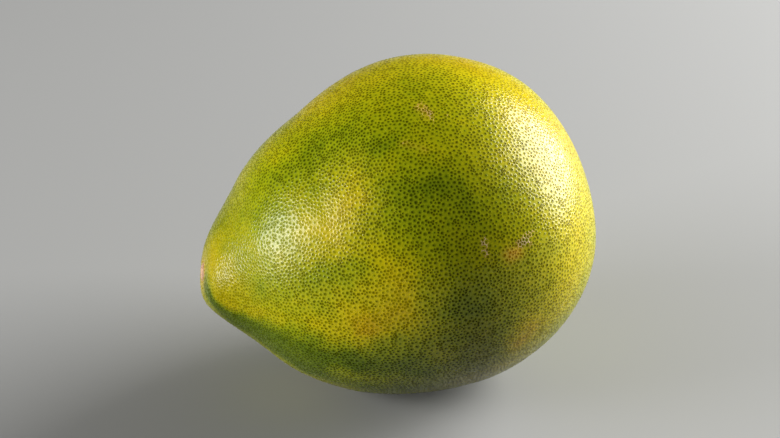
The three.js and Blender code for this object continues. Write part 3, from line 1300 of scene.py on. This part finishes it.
# %% Set the fine relief
DENT = -0.036  # these four are heights in millimetres
SHOULDER = 0.058
PEBBLE = 0.008
CORK_GRAIN = 0.20
DENT_RADIUS = 0.42  # these are distances from a gland's middle, in millimetres too
SHOULDER_FOOT = 0.95
SHOULDER_TOP = 0.30
PEBBLE_LENGTH = 0.0007  # and these are lengths in metres
CORK_GRAIN_LENGTH = 0.0006

dent = calculate("MULTIPLY", ease(round_gland, DENT_RADIUS * MM, 0.0), DENT)
shoulder = ease(round_gland, SHOULDER_FOOT * MM, SHOULDER_TOP * MM)
shoulder = calculate("MULTIPLY", shoulder, SHOULDER)
pebbles = wander(PEBBLE_LENGTH, PEBBLE)
fine_relief = calculate("ADD", calculate("ADD", dent, shoulder), pebbles)
cork_grain = calculate("MULTIPLY", grain(CORK_GRAIN_LENGTH, 3.0), CORK_GRAIN)
fine_relief = calculate("MULTIPLY_ADD", cork_grain, any_cork, fine_relief)
bump = tree.nodes.new("ShaderNodeBump")
bump.inputs["Strength"].default_value = 1.0
bump.inputs["Distance"].default_value = MM
feed(bump.inputs["Height"], fine_relief)
print(f"a dome's shoulder stands {SHOULDER} mm over its furrow")

# %% [markdown]
# One shader takes it all. Its index of refraction is that of a plant wax, a little under that
# of glass, and there is one value for the whole skin, so it is set on the shader itself.

# %% Finish the peel
WAX_IOR = 1.43

shader = tree.nodes.new("ShaderNodeBsdfPrincipled")
feed(shader.inputs["Base Color"], peel_colour)
feed(shader.inputs["Roughness"], gloss)
feed(shader.inputs["Normal"], bump.outputs["Normal"])
feed(shader.inputs["Specular IOR Level"], mirror)
shader.inputs["IOR"].default_value = WAX_IOR
surface = tree.nodes.new("ShaderNodeOutputMaterial")
feed(surface.inputs["Surface"], shader.outputs["BSDF"])
peel_mesh.materials.append(peel_material)
print(len(tree.nodes), "nodes in the whole peel")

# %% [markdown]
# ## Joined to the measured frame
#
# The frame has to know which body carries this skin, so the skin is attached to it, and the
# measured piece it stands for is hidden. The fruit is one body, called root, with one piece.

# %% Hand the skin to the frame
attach(peel, "root")
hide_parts("fruit")
print(peel.name, "stands for the fruit")

# %% [markdown]
# ## The floor
#
# A pale, plain floor shows the fruit's shadow. Its light is another matter. A pale floor that
# close would lift every shade on the underside, and the belly would look flat. The Light Path
# node tells the floor who is asking: seen straight, mirrored or looked through, it is pale,
# and to the light that bounces off it on to the fruit, it is dark.

# %% Lay the floor
FLOOR_RADIUS = 4.0
FLOOR_DROP = 0.0002  # the fruit's flat spot lies just above the floor, so they don't flicker
SEEN_TONE = (0.40, 0.40, 0.39, 1)
BOUNCED_TONE = (0.03, 0.03, 0.03, 1)

bpy.ops.mesh.primitive_circle_add(
    vertices=96, radius=FLOOR_RADIUS, fill_type="NGON", location=(0, 0, -FLOOR_DROP)
)
floor = bpy.context.active_object
floor.name = "floor"
floor_paint = bpy.data.materials.new("pale_floor")
floor_paint.use_nodes = True
floor_nodes = floor_paint.node_tree.nodes
floor_links = floor_paint.node_tree.links
ray = floor_nodes.new("ShaderNodeLightPath")
seen = ray.outputs["Is Camera Ray"]
for kind in ("Is Glossy Ray", "Is Transmission Ray"):
    either = floor_nodes.new("ShaderNodeMath")
    either.operation = "MAXIMUM"
    floor_links.new(seen, either.inputs[0])
    floor_links.new(ray.outputs[kind], either.inputs[1])
    seen = either.outputs[0]
floor_tone = floor_nodes.new("ShaderNodeMix")
floor_tone.data_type = "RGBA"
floor_tone.inputs["A"].default_value = BOUNCED_TONE
floor_tone.inputs["B"].default_value = SEEN_TONE
floor_links.new(seen, floor_tone.inputs["Factor"])
floor_shader = floor_nodes["Principled BSDF"]
floor_shader.inputs["Roughness"].default_value = 0.8
floor_links.new(floor_tone.outputs["Result"], floor_shader.inputs["Base Color"])
floor.data.materials.append(floor_paint)
print("floor", 2 * FLOOR_RADIUS, "m across")

# %% [markdown]
# ## The light
#
# Two soft lamps are all the fruit needs. A large one at the right draws the long, broad
# highlight over the blossom half, and a smaller one at the left catches the neck.
#
# A lamp's power could be set by eye. How bright its surface is, as radiance, is easier to
# reason about, since that is what the wax mirrors, and the power follows from its size.

# %% Hang the lamps
LAMPS = [  # name, azimuth, elevation, distance, width, height, radiance
    ("right_softbox", 105, 20, 1.2, 1.00, 0.95, 12.0),
    ("left_softbox", -84, 12, 1.4, 0.74, 0.76, 13.0),
]
aim = Vector((0, 0, (fruit_low.z + fruit_high.z) / 2))


def direction_towards(azimuth, elevation):
    """A unit vector. Azimuth is in degrees from -Y towards +X, and elevation from the floor."""
    a = math.radians(azimuth)
    e = math.radians(elevation)
    return Vector((math.sin(a) * math.cos(e), -math.cos(a) * math.cos(e), math.sin(e)))


for name, azimuth, elevation, distance, width, height, radiance in LAMPS:
    towards = direction_towards(azimuth, elevation)
    light = bpy.data.lights.new(name, "AREA")
    light.shape = "RECTANGLE"
    light.size = width
    light.size_y = height
    light.energy = radiance * width * height * math.pi
    lamp = bpy.data.objects.new(name, light)
    lamp.location = aim + towards * distance
    lamp.rotation_euler = towards.to_track_quat("Z", "Y").to_euler()
    bpy.context.scene.collection.objects.link(lamp)
    print(f"{name}: {light.energy:.1f} W")

# %% [markdown]
# The world fills the shadows. It is white and very dim, because an even light from all sides
# takes the roundness out of a fruit.

# %% Fill the shadows
FILL = 0.055
world = bpy.data.worlds.new("studio_air")
world.use_nodes = True
air = world.node_tree.nodes["Background"]
air.inputs["Color"].default_value = (1, 1, 1, 1)
air.inputs["Strength"].default_value = FILL
bpy.context.scene.world = world
print("the air shines with a radiance of", FILL)

# %% [markdown]
# ## The camera
#
# A long lens from a metre away keeps the fruit's proportions calm. The camera looks down at
# the side of the fruit, with the neck to the left. It is built from three directions, its
# right, its up and its back, which is exactly what a camera's matrix holds.

# %% Set up the camera
CAMERA_AZIMUTH = -9.75
CAMERA_ELEVATION = 30
CAMERA_DISTANCE = 1.003
SENSOR = 36  # millimetres wide
LENS = 124.6
AIM_HEIGHT = 0.060
AIM_RIGHT = -0.00373  # metres from the point at that height above the origin
AIM_UP = 0.00384

back = direction_towards(CAMERA_AZIMUTH, CAMERA_ELEVATION)
turn = math.radians(CAMERA_AZIMUTH)
right = Vector((math.cos(turn), math.sin(turn), 0))
up = back.cross(right)
target = Vector((0, 0, AIM_HEIGHT)) + right * AIM_RIGHT + up * AIM_UP
camera_data = bpy.data.cameras.new("camera")
camera_data.sensor_width = SENSOR
camera_data.lens = LENS
camera = bpy.data.objects.new("camera", camera_data)
camera.matrix_world = Matrix.Translation(target + back * CAMERA_DISTANCE) @ Matrix(
    (right, up, back)
).transposed().to_4x4()
bpy.context.scene.collection.objects.link(camera)
bpy.context.scene.camera = camera
bpy.context.scene.view_settings.view_transform = "Standard"
print("camera at", tuple(round(c, 3) for c in camera.location))
